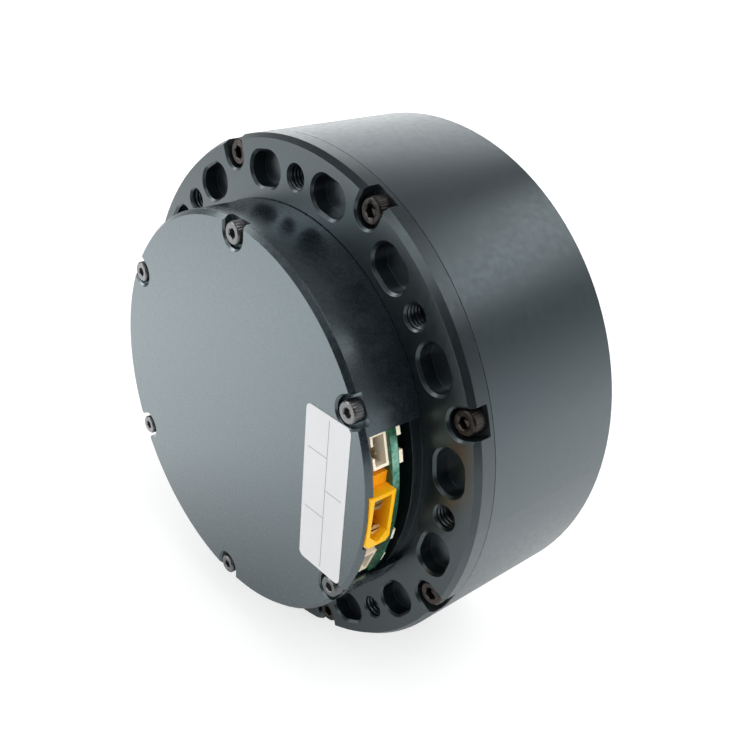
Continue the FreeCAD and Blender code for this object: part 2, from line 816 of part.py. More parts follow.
def make_phase_leads():
    """Three leads from the front coil ends, back through the wall channel, to the board."""
    wall_line = shell_bore + lead_radius + part_gap
    gap_level = flange_thickness + lead_radius + part_gap
    start = hub_outer + stator_back + part_gap + lead_radius
    route = [(start, coil_front), (start, lead_level), (wall_line, lead_level), (wall_line, gap_level),
             (lead_entry(), gap_level), (lead_entry(), board_front)]
    leads = []
    for offset in lead_offsets():
        leads.append(swung(moved(lead_solid(route), z=offset), 180.0))
    return group(leads)


def lead_solid(route):
    """Round lead along straight runs in the XY plane, mitred at the corners with balls."""
    pieces = []
    for (x0, y0), (x1, y1) in zip(route, route[1:]):
        start = FreeCAD.Vector(x0, y0, 0)
        run = FreeCAD.Vector(x1, y1, 0) - start
        pieces.append(Part.makeCylinder(lead_radius, run.Length, start, run))
    for x, y in route[1:-1]:
        pieces.append(Part.makeSphere(lead_radius, FreeCAD.Vector(x, y, 0)))
    return pieces[0].fuse(pieces[1:]).removeSplitter()


# ---- Rotor ----
def make_rotor_shaft():
    boss_front = rotor_web_front + rotor_boss_height
    shoulder = shaft_radius + shoulder_rise
    shaft_rear = board_front + encoder_chip_height + encoder_gap + encoder_magnet_length / 2
    pocket_front = shaft_rear + encoder_magnet_length / 2
    sun_front = gear_front + gear_end_gap / 2
    profile = [(0.0, pocket_front), (encoder_magnet_radius, pocket_front), (encoder_magnet_radius, shaft_rear),
               (shaft_radius, shaft_rear), (shaft_radius, rear_bearing_front), (shoulder, rear_bearing_front),
               (shoulder, rotor_boss_rear()), (shaft_radius, rotor_boss_rear()), (shaft_radius, boss_front),
               (sun_bore, boss_front), (sun_bore, sun_front), (pilot_shaft_radius, sun_front),
               (pilot_shaft_radius, output_rear + pilot_bearing_width), (0.0, output_rear + pilot_bearing_width)]
    return turned(profile)


def rotor_boss_rear():
    return rear_bearing_front + rotor_end_gap


def make_encoder_magnet():
    rear = board_front + encoder_chip_height + encoder_gap
    return rod(encoder_magnet_radius, rear, rear + encoder_magnet_length)


def make_rotor_hub():
    boss_front = rotor_web_front + rotor_boss_height
    hub = turned([(shaft_radius, rotor_boss_rear()), (rotor_boss_radius, rotor_boss_rear()),
                  (rotor_boss_radius, rotor_web_rear), (yoke_inner, rotor_web_rear),
                  (yoke_inner, rotor_web_front), (rotor_boss_radius, rotor_web_front),
                  (rotor_boss_radius, boss_front), (shaft_radius, boss_front)])
    hole = rod(web_hole_radius, rotor_web_rear, rotor_web_front, x=web_hole_circle)
    return hub.cut(ring_of(hole, web_hole_count, 0.0))


def make_rotor_yoke():
    return tube(yoke_inner, yoke_outer, rotor_web_rear, yoke_front)


def make_rotor_magnets():
    pitch = FULL_TURN / magnet_count
    rear, front = stack_rear - magnet_overhang, stack_front + magnet_overhang
    magnet = turned([(magnet_inner, rear), (yoke_inner, rear), (yoke_inner, front), (magnet_inner, front)],
                    pitch * magnet_share)
    return group(ring_of(magnet, magnet_count, 0.0))


# ---- Gear stage ----
def make_sun_gear():
    gear = external_gear(sun_teeth, gear_rear, gear_front, 0.0)
    return gear.cut(rod(sun_bore, gear_rear, gear_front))


def make_ring_gear():
    rear, front = carrier_front, output_rear
    gap = 180.0 / ring_teeth
    return rod(ring_outer, rear, front).cut(internal_gear_cutter(rear, front, gap))


def make_planet_gear(index):
    gear = external_gear(planet_teeth, gear_rear, gear_front, planet_first_tooth(index))
    gear = gear.cut(rod(planet_bore, gear_rear, gear_front))
    x, z = at_angle(planet_circle, planet_angle(index))
    return moved(gear, x=x, z=z)


def make_planet_bush(index):
    x, z = at_angle(planet_circle, planet_angle(index))
    return moved(tube(pin_radius + running_gap, planet_bore, gear_rear, gear_front), x=x, z=z)


def make_planet_pins():
    pin = rod(pin_radius, carrier_rear + gear_end_gap, pin_front(), x=planet_circle)
    return group(ring_of(pin, planet_count, planet_angle(0)))


def pin_front():
    return output_bearing_rear - gear_end_gap


def make_carrier_plate():
    plate = tube(sun_pitch_radius + gear_module * addendum + carrier_gap, carrier_radius, carrier_rear, carrier_front)
    pin_hole = rod(pin_radius, carrier_rear, carrier_front, x=planet_circle)
    screw_hole = rod(m3_radius + screw_gap, carrier_rear, carrier_front, x=pillar_circle)
    sink = cone(m3_head_radius + screw_gap, m3_radius + screw_gap, carrier_rear,
                carrier_rear + m3_head_height, x=pillar_circle)
    first_pillar = planet_angle(0) + 180.0 / planet_count
    cuts = ring_of(pin_hole, planet_count, planet_angle(0))
    cuts += ring_of(screw_hole.fuse(sink), planet_count, first_pillar)
    return plate.cut(cuts)


def make_carrier_screws():
    screw = flat_screw(m3_radius, carrier_screw_length, m3_head_radius, m3_head_height, m3_key)
    screw = moved(screw, x=pillar_circle, y=carrier_rear)
    return group(ring_of(screw, planet_count, planet_angle(0) + 180.0 / planet_count))


# ---- Output side ----
def make_output_flange():
    neck = output_bearing_bore - output_neck_step
    groove_front = output_bearing_front + snap_ring_thickness
    groove = output_bearing_bore - snap_groove_depth
    bearing_front = output_rear + pilot_bearing_width
    profile = [(pilot_bearing_outer_radius, output_rear), (carrier_radius, output_rear),
               (carrier_radius, output_bearing_rear), (output_bearing_bore, output_bearing_rear),
               (output_bearing_bore, output_bearing_front), (groove, output_bearing_front),
               (groove, groove_front), (neck, groove_front), (neck, output_face - front_edge_chamfer / 2),
               (neck - front_edge_chamfer / 2, output_face), (output_pilot_radius, output_face),
               (output_pilot_radius, output_face - output_pilot_depth),
               (0.0, output_face - output_pilot_depth),
               (0.0, bearing_front), (pilot_bearing_outer_radius, bearing_front)]
    body = turned(profile)
    first_pillar = planet_angle(0) + 180.0 / planet_count
    pillar = rod(pillar_radius, carrier_front, output_rear, x=pillar_circle)
    body = body.fuse(ring_of(pillar, planet_count, first_pillar)).removeSplitter()
    screw_tip = carrier_rear + carrier_screw_length + part_gap
    cuts = ring_of(rod(m3_radius + thread_gap, carrier_front, screw_tip, x=pillar_circle), planet_count, first_pillar)
    cuts += ring_of(rod(pin_radius, output_rear, pin_front(), x=planet_circle), planet_count, planet_angle(0))
    bolt = rod(output_hole_radius, output_face - output_hole_depth, output_face, x=output_hole_circle)
    sink = cone(output_hole_radius, output_hole_radius + mount_countersink,
                output_face - mount_countersink, output_face, x=output_hole_circle)
    cuts += ring_of(bolt.fuse(sink), output_hole_count, 0.0)
    dowel = rod(dowel_radius, output_face - dowel_depth, output_face, x=output_hole_circle)
    cuts += ring_of(dowel, dowel_count, 180.0 / output_hole_count)
    return body.cut(cuts)


def race_ring(plain, race, groove_centre):
    """Bearing ring between a plain radius and a race radius, with its ball groove."""
    ring = tube(min(plain, race), max(plain, race), output_bearing_rear, output_bearing_front)
    middle = (output_bearing_rear + output_bearing_front) / 2
    groove = Part.makeTorus(groove_centre, output_ball_radius + running_gap, FreeCAD.Vector(0, middle, 0), AXIS)
    return ring.cut(groove)


def ball_circle():
    return (output_bearing_bore + output_bearing_outer_radius) / 2


def make_output_bearing_inner():
    return race_ring(output_bearing_bore, output_bearing_bore + race_thickness, ball_circle())


def make_output_bearing_outer():
    return race_ring(output_bearing_outer_radius, output_bearing_outer_radius - race_thickness, ball_circle())


def make_output_bearing_balls():
    middle = (output_bearing_rear + output_bearing_front) / 2
    ball = Part.makeSphere(output_ball_radius, FreeCAD.Vector(ball_circle(), middle, 0))
    return group(ring_of(ball, output_ball_count, 0.0))


def make_bearing_retainer():
    ring = tube(retainer_bore, retainer_radius, output_bearing_front, body_front)
    hole = rod(m25_radius + screw_gap, output_bearing_front, body_front, x=retainer_screw_circle)
    sink = cone(m25_radius + screw_gap, m25_flat_head_radius + screw_gap,
                body_front - m25_flat_head_height, body_front, x=retainer_screw_circle)
    return ring.cut(ring_of(hole.fuse(sink), retainer_screw_count, 0.0))


def make_retainer_screws():
    screw = flat_screw(m25_radius, retainer_screw_length, m25_flat_head_radius, m25_flat_head_height, m25_flat_key)
    screw = moved(facing_rear(screw), x=retainer_screw_circle, y=body_front)
    return group(ring_of(screw, retainer_screw_count, 0.0))


def make_snap_ring():
    inner = output_bearing_bore - snap_groove_depth
    ring = tube(inner, inner + snap_ring_width, output_bearing_front, output_bearing_front + snap_ring_thickness)
    gap_half = snap_ring_width
    return ring.cut(block(0.0, output_bearing_bore + snap_ring_width, output_bearing_front,
                          output_bearing_front + snap_ring_thickness, -gap_half, gap_half))


def make_output_seal():
    neck = output_bearing_bore - output_neck_step
    return tube(neck + seal_gap, retainer_bore, body_front - seal_thickness, body_front)


def make_rear_bearing_outer():
    return shielded_outer_race(shaft_radius, rear_bearing_outer_radius, rear_bearing_rear, rear_bearing_width,
                               shaft_radius + small_race)


def make_rear_bearing_inner():
    return tube(shaft_radius, shaft_radius + small_race, rear_bearing_rear, rear_bearing_front)


def make_pilot_bearing_outer():
    return shielded_outer_race(pilot_shaft_radius, pilot_bearing_outer_radius, output_rear, pilot_bearing_width,
                               pilot_shaft_radius + pilot_race)


def make_pilot_bearing_inner():
    return tube(pilot_shaft_radius, pilot_shaft_radius + pilot_race,
                output_rear, output_rear + pilot_bearing_width)


# ---- All nodes ----
nodes = {
    "motor_housing": make_motor_housing(),
    "rear_housing": make_rear_housing(),
    "flange_screws": make_flange_screws(),
    "rear_cap": make_rear_cap(),
    "cap_screws": make_cap_screws(),
    "driver_board": make_driver_board(),
    "board_chips": make_board_chips(),
    "board_standoffs": make_board_standoffs(),
    "board_screws": make_board_screws(),
    "power_connector": make_power_connector(),
    "power_pins": make_power_pins(),
    "signal_connectors": make_signal_connectors(),
    "signal_pins": make_signal_pins(),
    "connector_anchors": make_connector_anchors(),
    "stator_core": make_stator_core(),
    "stator_windings": make_stator_windings(),
    "phase_leads": make_phase_leads(),
    "rotor_shaft": make_rotor_shaft(),
    "rotor_hub": make_rotor_hub(),
    "rotor_yoke": make_rotor_yoke(),
    "rotor_magnets": make_rotor_magnets(),
    "encoder_magnet": make_encoder_magnet(),
    "sun_gear": make_sun_gear(),
    "ring_gear": make_ring_gear(),
    "planet_pins": make_planet_pins(),
    "carrier_plate": make_carrier_plate(),
    "carrier_screws": make_carrier_screws(),
    "output_flange": make_output_flange(),
    "output_bearing_inner": make_output_bearing_inner(),
    "output_bearing_outer": make_output_bearing_outer(),
    "output_bearing_balls": make_output_bearing_balls(),
    "bearing_retainer": make_bearing_retainer(),
    "retainer_screws": make_retainer_screws(),
    "snap_ring": make_snap_ring(),
    "output_seal": make_output_seal(),
    "rear_bearing_outer": make_rear_bearing_outer(),
    "rear_bearing_inner": make_rear_bearing_inner(),
    "pilot_bearing_outer": make_pilot_bearing_outer(),
    "pilot_bearing_inner": make_pilot_bearing_inner(),
}
for index in range(planet_count):
    nodes["planet_gear_%d" % (index + 1)] = make_planet_gear(index)
    nodes["planet_bush_%d" % (index + 1)] = make_planet_bush(index)

os.makedirs("parts", exist_ok=True)
for name, shape in nodes.items():
    shape.exportStep("parts/%s.step" % name)
print("%d nodes, body %.1f long, output face at %.1f" % (len(nodes), body_front + cap_height, output_face))
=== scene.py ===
import bpy
import bmesh
import json
import math
from mathutils import Matrix, Vector


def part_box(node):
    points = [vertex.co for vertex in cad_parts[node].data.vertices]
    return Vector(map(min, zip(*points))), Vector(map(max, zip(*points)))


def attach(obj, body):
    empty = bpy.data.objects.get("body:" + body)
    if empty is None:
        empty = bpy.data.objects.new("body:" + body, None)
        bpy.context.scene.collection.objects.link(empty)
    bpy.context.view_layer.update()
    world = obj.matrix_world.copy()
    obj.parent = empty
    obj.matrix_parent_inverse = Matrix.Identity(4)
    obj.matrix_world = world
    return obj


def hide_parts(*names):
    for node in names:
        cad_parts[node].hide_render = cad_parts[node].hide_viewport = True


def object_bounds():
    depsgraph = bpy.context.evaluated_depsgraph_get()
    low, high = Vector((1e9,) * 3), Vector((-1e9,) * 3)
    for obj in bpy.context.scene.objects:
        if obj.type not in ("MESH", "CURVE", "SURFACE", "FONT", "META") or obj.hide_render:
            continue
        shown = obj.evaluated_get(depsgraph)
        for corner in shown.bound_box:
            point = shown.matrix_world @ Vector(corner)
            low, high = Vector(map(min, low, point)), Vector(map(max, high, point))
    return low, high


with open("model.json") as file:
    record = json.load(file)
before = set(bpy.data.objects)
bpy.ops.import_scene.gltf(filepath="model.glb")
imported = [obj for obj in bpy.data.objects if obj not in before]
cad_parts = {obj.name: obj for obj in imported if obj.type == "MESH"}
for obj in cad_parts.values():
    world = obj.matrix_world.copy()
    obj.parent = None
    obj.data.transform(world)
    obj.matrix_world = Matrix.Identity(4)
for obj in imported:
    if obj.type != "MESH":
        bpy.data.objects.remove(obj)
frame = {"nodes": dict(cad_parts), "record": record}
cad_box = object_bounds()
record = frame["record"]
nodes = frame["nodes"]
scene = bpy.context.scene

# The object's sizes are in millimetres here and in metres in Blender. The output axis is +Y, the connector
# window faces +X, and angles on the object run in degrees round the output axis, from +X towards +Z.
MM = 0.001
mounts = {m["name"]: m for m in record["mounts"]}

# The two housings meet at the seam, which shows outside this radius.
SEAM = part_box("motor_housing")[0][1] / MM
SEAM_RADIUS = 46.0
CAP_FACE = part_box("rear_cap")[0][1] / MM

LABEL_CENTRE = (26.95, -0.3)
LABEL_TILT = math.radians(1.8)
LABEL_WIDTH, LABEL_LENGTH, LABEL_CORNER = 10.6, 30.8, 1.1
LONG_RULE_PLACE, LONG_RULE_HALF = 0.35, 14.6
CROSS_RULES = ((7.6, -4.4, 0.3), (-4.2, -4.4, 0.3), (1.4, 0.4, 4.4))  # place along, then from and to across
RULE_HALF_WIDTH = 0.07

CAP_SCREW_CIRCLE, CAP_SCREW_START, CAP_SCREW_COUNT = 35.2, 90.0, 6
FLANGE_SCREW_CIRCLE, FLANGE_SCREW_START, FLANGE_SCREW_COUNT = 45.3, 22.5, 8
M2_SCREW = {"head": 1.9, "height": 2.0, "chamfer": 0.25, "key": 1.5, "shank": 1.0}
M25_SCREW = {"head": 2.25, "height": 2.5, "chamfer": 0.35, "key": 2.0, "shank": 1.25}
M4_PITCH = 0.7


# ---------------------------------------------------------------- node helpers
class Nodes:
    """Small wrapper that builds one node tree. A value is a node's output, a number or a colour."""

    # A Mix node has a set of sockets for each kind of data. These are the colour ones.
    MIX_A, MIX_B, MIX_RESULT = 6, 7, 2

    def __init__(self, tree, output_kind):
        self.tree = tree
        tree.nodes.clear()
        self.output = self.add(output_kind)

    def add(self, kind, **settings):
        node = self.tree.nodes.new(kind)
        for name, value in settings.items():
            setattr(node, name, value)
        return node

    def join(self, source, target):
        self.tree.links.new(source, target)

    def feed(self, socket, value):
        """Links a node's output to the socket, or sets a plain value on it."""
        if isinstance(value, bpy.types.NodeSocket):
            self.join(value, socket)
        elif socket.type == "RGBA":
            socket.default_value = (*value, 1.0)
        else:
            socket.default_value = value

    def math(self, operation, a, b=0.0, clamp=False):
        node = self.add("ShaderNodeMath", operation=operation, use_clamp=clamp)
        self.feed(node.inputs[0], a)
        self.feed(node.inputs[1], b)
        return node.outputs[0]

    def plus(self, a, b):
        return self.math("ADD", a, b)

    def minus(self, a, b):
        return self.math("SUBTRACT", a, b)

    def times(self, a, b):
        return self.math("MULTIPLY", a, b)

    def length(self, a, b):
        """Length of the flat vector (a, b)."""
        return self.math("SQRT", self.plus(self.times(a, a), self.times(b, b)))

    def mix(self, factor, a, b):
        """Colour a where the factor is 0, and b where it is 1."""
        node = self.add("ShaderNodeMix", data_type="RGBA")
        self.feed(node.inputs["Factor"], factor)
        self.feed(node.inputs[self.MIX_A], a)
        self.feed(node.inputs[self.MIX_B], b)
        return node.outputs[self.MIX_RESULT]

    def ramp(self, value, start, end, low=0.0, high=1.0, smooth=False):
        """Goes from low to high as the value goes from start to end, and stays there outside."""
        node = self.add("ShaderNodeMapRange", interpolation_type="SMOOTHSTEP" if smooth else "LINEAR")
        self.feed(node.inputs["Value"], value)
        for name, number in (("From Min", start), ("From Max", end), ("To Min", low), ("To Max", high)):
            node.inputs[name].default_value = number
        return node.outputs["Result"]


class Finish(Nodes):
    """One material: a Principled shader fed by patterns in the object's own coordinates."""

    NOISE_LOW, NOISE_HIGH = 0.3, 0.7  # the span that a noise mostly covers
    BEVEL_SAMPLES = 6

    def __init__(self, name):
        self.material = bpy.data.materials.new(name)
        self.material.use_nodes = True
        super().__init__(self.material.node_tree, "ShaderNodeOutputMaterial")
        self.shader = self.add("ShaderNodeBsdfPrincipled")
        self.join(self.shader.outputs[0], self.output.inputs["Surface"])
        self.place = self.add("ShaderNodeTexCoord").outputs["Object"]

    def set(self, **values):
        """Sets or links inputs of the shader. An underscore stands for a space."""
        for name, value in values.items():
            self.feed(self.shader.inputs[name.replace("_", " ")], value)

    def noise(self, scale, detail=2.0, stretch=None, roughness=0.5):
        node = self.add("ShaderNodeTexNoise")
        node.inputs["Scale"].default_value = scale
        node.inputs["Detail"].default_value = detail
        node.inputs["Roughness"].default_value = roughness
        self.join(self.stretched(stretch) if stretch else self.place, node.inputs["Vector"])
        return node.outputs[0]

    def varied(self, noise, low, high):
        """A number that wanders between low and high with a noise."""
        return self.ramp(noise, self.NOISE_LOW, self.NOISE_HIGH, low, high)

    def cell_edges(self, scale):
        """Distance to the borders of a random mesh of cells."""
        node = self.add("ShaderNodeTexVoronoi", feature="DISTANCE_TO_EDGE")
        node.inputs["Scale"].default_value = scale
        self.join(self.place, node.inputs["Vector"])
        return node.outputs["Distance"]

    def stretched(self, factors):
        node = self.add("ShaderNodeVectorMath", operation="MULTIPLY")
        self.join(self.place, node.inputs[0])
        node.inputs[1].default_value = factors
        return node.outputs[0]

    def axes(self):
        node = self.add("ShaderNodeSeparateXYZ")
        self.join(self.place, node.inputs[0])
        return node.outputs["X"], node.outputs["Y"], node.outputs["Z"]

    def radius(self):
        """Distance from the output axis."""
        x, _, z = self.axes()
        return self.length(x, z)

    def ripple(self, distance, pitch):
        """A wave between -1 and 1 that repeats with each pitch of the distance."""
        return self.math("SINE", self.times(distance, 2 * math.pi / (pitch * MM)))

    def rounded_normal(self, edge_radius):
        node = self.add("ShaderNodeBevel", samples=self.BEVEL_SAMPLES)
        node.inputs["Radius"].default_value = edge_radius * MM
        return node.outputs[0]

    def edge(self, width, start, full):
        """1 along sharp edges, 0 on the open surface. start and full are cosines of the normal's turn."""
        dot = self.add("ShaderNodeVectorMath", operation="DOT_PRODUCT")
        self.join(self.rounded_normal(width), dot.inputs[0])
        self.join(self.add("ShaderNodeNewGeometry").outputs["Normal"], dot.inputs[1])
        return self.ramp(dot.outputs["Value"], start, full)

    def bump(self, layers, edge_radius=0.0):
        """Stacks bumps, each a (height, depth), on the shader's normal, over edges rounded by a radius."""
        normal = self.rounded_normal(edge_radius) if edge_radius else None
        for height, depth in layers:
            node = self.add("ShaderNodeBump")
            node.inputs["Strength"].default_value = 1.0
            node.inputs["Distance"].default_value = depth * MM
            self.join(height, node.inputs["Height"])
            if normal is not None:
                self.join(normal, node.inputs["Normal"])
            normal = node.outputs[0]
        self.join(normal, self.shader.inputs["Normal"])


def scaled(colour, factor):
    return tuple(min(1.0, c * factor) for c in colour)


# ---------------------------------------------------------------- materials
COOL_TINT = (0.84, 1.0, 1.06)
SEAM_HALF_WIDTH = 0.08
PLAIN_SPECULAR, SEAM_SPECULAR = 0.5, 0.03
GRAIN_DEPTH, DRIFT_DEPTH = 0.0014, 0.006
LATHE_LAY_PITCH = 0.22
PLASTIC_IOR = 1.5
SUBSURFACE_DEPTH = 0.6
MASK_DEPTH = 0.12
SHEET_THICKNESS, WIRE_PITCH = 0.35, 0.62
# The pale patch on the board's edge fades in between the first two heights and out between the others.
PATCH_FADE_IN, PATCH_FADE_OUT = (4.0, 6.5), (13.5, 11.5)
# Painted shade: the hood's colour turns from yellow to a darker orange between these depths in its socket.
HOOD_SHADE_DEPTHS = (0.3, 4.0)


def anodised(name, colour, rough, ior, edge_colour, lay=0.0, seam=False):
    """Bead-blasted and anodised aluminium: fine grain, slow tone drift, and thin paler outer edges, partly
    wear and partly a painted highlight where edges catch the light.
    """
    t = Finish(name)
    drift = t.noise(scale=45.0, detail=3.0)
    mottle = t.noise(scale=900.0, detail=3.0)
    tone = t.plus(t.times(drift, 0.6), t.times(mottle, 0.4))
    body = t.mix(tone, scaled(colour, 0.7), scaled(colour, 1.3))
    patchy = t.ramp(t.noise(scale=1600.0, detail=2.0), 0.42, 0.62)
    # Paler edges: partly wear, partly a painted highlight along edges that would glint.
    edge_wear_and_glint = t.math("MULTIPLY", t.edge(width=0.12, start=0.97, full=0.80), patchy, clamp=True)
    t.set(Metallic=0.0, IOR=ior, Specular_Tint=COOL_TINT, Base_Color=t.mix(edge_wear_and_glint, body, edge_colour),
          Roughness=t.varied(mottle, rough - 0.03, rough + 0.04))
    if seam:
        # The hairline shadow where the two housings meet on the outside.
        _, y, _ = t.axes()
        off = t.math("ABSOLUTE", t.minus(y, SEAM * MM))
        line = t.times(t.math("LESS_THAN", off, SEAM_HALF_WIDTH * MM),
                       t.math("GREATER_THAN", t.radius(), SEAM_RADIUS * MM))
        t.set(Specular_IOR_Level=t.ramp(line, 0.0, 1.0, PLAIN_SPECULAR, SEAM_SPECULAR))
    layers = [(t.noise(scale=3600.0, detail=1.0), GRAIN_DEPTH), (drift, DRIFT_DEPTH)]
    if lay:
        layers.append((t.ripple(t.radius(), LATHE_LAY_PITCH), lay))
    t.bump(layers, edge_radius=0.09)
    return t.material


def machined(name, colour, rough, pitch=0.18, depth=0.0015):
    """Turned bare metal with fine rings round the axis and light handling marks."""
    t = Finish(name)
    drift = t.noise(scale=60.0, detail=3.0)
    fine = t.noise(scale=2500.0, detail=2.0)
    t.set(Metallic=1.0, Base_Color=t.mix(drift, scaled(colour, 0.86), scaled(colour, 1.12)),
          Roughness=t.varied(fine, rough - 0.05, rough + 0.07))
    t.bump([(t.ripple(t.radius(), pitch), depth), (fine, 0.002)], edge_radius=0.12)
    return t.material


def brushed(name, colour, rough, metallic=1.0, edge_colour=None):
    """Ground or oxide-finished steel with short grain and paler edges."""
    t = Finish(name)
    grain = t.noise(scale=1800.0, detail=3.0, stretch=(1.0, 0.15, 1.0))
    patch = t.noise(scale=350.0, detail=2.0)
    body = t.mix(patch, scaled(colour, 0.75), scaled(colour, 1.25))
    if edge_colour:
        body = t.mix(t.edge(width=0.10, start=0.97, full=0.84), body, edge_colour)
    t.set(Metallic=metallic, Base_Color=body, Roughness=t.varied(grain, rough - 0.06, rough + 0.08))
    t.bump([(grain, 0.004)], edge_radius=0.08)
    return t.material


def moulded(name, colour, rough, grain=2200.0, depth=0.006, subsurface=0.0, painted_shade_well=None):
    """Moulded plastic with a faint spark-eroded grain and flow mottling. well is (mouth, floor, shade):
    between these radii the socket gets painted shade.
    """
    t = Finish(name)
    flow = t.noise(scale=260.0, detail=3.0)
    body = t.mix(flow, scaled(colour, 0.90), scaled(colour, 1.08))
    if painted_shade_well:
        # Painted shade: between these radii, inwards from its mouth, the socket's colour goes dark and warm
        # where shade would fall.
        mouth, floor_radius, shade = painted_shade_well
        body = t.mix(t.ramp(t.radius(), mouth * MM, floor_radius * MM), body, shade)
    t.set(IOR=PLASTIC_IOR, Base_Color=body, Roughness=t.varied(flow, rough - 0.04, rough + 0.05))
    if subsurface:
        t.set(Subsurface_Weight=subsurface, Subsurface_Scale=SUBSURFACE_DEPTH * MM)
    t.bump([(t.noise(scale=grain, detail=2.0), depth)], edge_radius=0.10)
    return t.material


def board_finish(name):
    """Green solder mask with tracks under it, and a routed edge with a paler patch by the upper socket."""
    t = Finish(name)
    _, y, z = t.axes()
    tracks = t.ramp(t.cell_edges(330.0), 0.02, 0.10, 1.0, 0.0)
    mask = t.mix(tracks, (0.010, 0.070, 0.036), (0.024, 0.135, 0.066))
    low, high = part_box("driver_board")
    inside = t.times(t.math("GREATER_THAN", y, low[1] + MASK_DEPTH * MM),
                     t.math("LESS_THAN", y, high[1] - MASK_DEPTH * MM))
    fades = [t.ramp(z, start * MM, end * MM) for start, end in (PATCH_FADE_IN, PATCH_FADE_OUT)]
    patch = t.times(*fades)
    cloud = t.ramp(t.noise(scale=520.0, detail=3.0, roughness=0.7), 0.35, 0.65)
    glass = t.mix(cloud, (0.006, 0.042, 0.024), (0.026, 0.100, 0.056))
    bright = t.mix(cloud, (0.050, 0.190, 0.130), (0.240, 0.460, 0.370))
    t.set(IOR=PLASTIC_IOR, Base_Color=t.mix(inside, mask, t.mix(patch, glass, bright)),
          Roughness=t.varied(t.noise(scale=900.0), 0.22, 0.40))
    t.bump([(tracks, 0.03), (cloud, 0.02), (t.noise(scale=2600.0), 0.004)], edge_radius=0.08)
    return t.material


def shaded_hood(name):
    """Yellow nylon with painted shade: it turns a darker orange towards the bottom of the socket."""
    t = Finish(name)
    x, _, _ = t.axes()
    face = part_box("power_connector")[1][0]
    # Painted shade that grows deeper into the socket.
    depth = t.ramp(x, face - HOOD_SHADE_DEPTHS[0] * MM, face - HOOD_SHADE_DEPTHS[1] * MM)
    flow = t.noise(scale=260.0, detail=3.0)
    outer = t.mix(flow, (0.92, 0.45, 0.004), (1.00, 0.54, 0.008))
    inner = t.mix(flow, (0.72, 0.17, 0.006), (0.82, 0.22, 0.010))
    t.set(IOR=PLASTIC_IOR, Subsurface_Weight=0.15, Subsurface_Scale=SUBSURFACE_DEPTH * MM,
          Base_Color=t.mix(depth, outer, inner), Roughness=t.varied(flow, 0.24, 0.34))
    t.bump([(t.noise(scale=2200.0, detail=2.0), 0.005)], edge_radius=0.12)
    return t.material


def laminated(name, colour):
    """Stacked electrical sheet: thin dark lines across the axis."""
    t = Finish(name)
    _, y, _ = t.axes()
    sheets = t.ripple(y, SHEET_THICKNESS)
    t.set(Metallic=0.7,
          Base_Color=t.mix(t.ramp(sheets, -1.0, 1.0), scaled(colour, 0.5), scaled(colour, 1.2)),
          Roughness=t.varied(t.noise(scale=700.0), 0.45, 0.6))
    t.bump([(sheets, 0.02)], edge_radius=0.08)
    return t.material


def wound(name, colour):
    """Enamelled wire laid side by side round each tooth."""
    t = Finish(name)
    turns = t.ripple(t.radius(), WIRE_PITCH)
    t.set(Metallic=0.85, Coat_Weight=0.6, Coat_Roughness=0.15,
          Base_Color=t.mix(t.ramp(turns, -1.0, 1.0), scaled(colour, 0.35), scaled(colour, 1.15)),
          Roughness=t.varied(t.noise(scale=900.0), 0.24, 0.36))
    t.bump([(turns, 0.12)], edge_radius=0.1)
    return t.material


def paper(name):
    """Label stock with no words: white face with a little fibre, ruled into empty cells."""
    t = Finish(name)
    fibre = t.noise(scale=1500.0, detail=4.0, stretch=(1.0, 1.0, 0.4))
    cloud = t.noise(scale=120.0, detail=2.0)
    x, _, z = t.axes()
    dx, dz = t.minus(x, LABEL_CENTRE[0] * MM), t.minus(z, LABEL_CENTRE[1] * MM)
    cos_tilt, sin_tilt = math.cos(LABEL_TILT), math.sin(LABEL_TILT)
    across = t.plus(t.times(dx, cos_tilt), t.times(dz, sin_tilt))
    along = t.minus(t.times(dz, cos_tilt), t.times(dx, sin_tilt))

    def near(value, place, half):
        return t.math("LESS_THAN", t.math("ABSOLUTE", t.minus(value, place * MM)), half * MM)

    rule = t.times(near(across, LONG_RULE_PLACE, RULE_HALF_WIDTH), near(along, 0.0, LONG_RULE_HALF))
    for place, low, high in CROSS_RULES:
        cross = t.times(near(along, place, RULE_HALF_WIDTH),
                        near(across, (low + high) / 2, (high - low) / 2))
        rule = t.math("MAXIMUM", rule, cross)
    stock = t.mix(cloud, (0.72, 0.73, 0.74), (0.79, 0.79, 0.80))
    t.set(Base_Color=t.mix(t.times(rule, 0.75), stock, (0.10, 0.10, 0.11)),
          Roughness=t.varied(fibre, 0.38, 0.50))
    t.bump([(fibre, 0.004), (cloud, 0.02)])
    return t.material


IVORY = (0.93, 0.84, 0.66)
IVORY_IN_SHADE = (0.30, 0.21, 0.13)
# Painted shade in the signal sockets: mouth and floor radii in mm, and the colour deep inside.
SOCKET_PAINTED_SHADE = (35.0, 32.6, IVORY_IN_SHADE)

# The last colour is the edge colour. On the cap and the flange it is paler: a painted highlight along their
# edges as well as wear.
cap_finish = anodised("anodised_cap", (0.004, 0.007, 0.009), 0.26, 2.50, (0.055, 0.060, 0.065))
flange_finish = anodised("anodised_flange", (0.0035, 0.005, 0.006), 0.31, 1.98, (0.085, 0.090, 0.095),
                         lay=0.0004, seam=True)
shell_finish = anodised("anodised_shell", (0.006, 0.010, 0.013), 0.32, 2.15, (0.030, 0.034, 0.038),
                        seam=True)
retainer_finish = anodised("anodised_retainer", (0.005, 0.007, 0.009), 0.28, 2.2, (0.040, 0.044, 0.048),
                           lay=0.0008)
# Painted light: the cap screws get a paler copy of the screw steel, which stands in for the brighter
# reflections on their heads.
cap_screw_painted_light_finish = brushed("steel_with_painted_light", (0.200, 0.202, 0.206), 0.28, 0.95, (0.34, 0.34, 0.34))

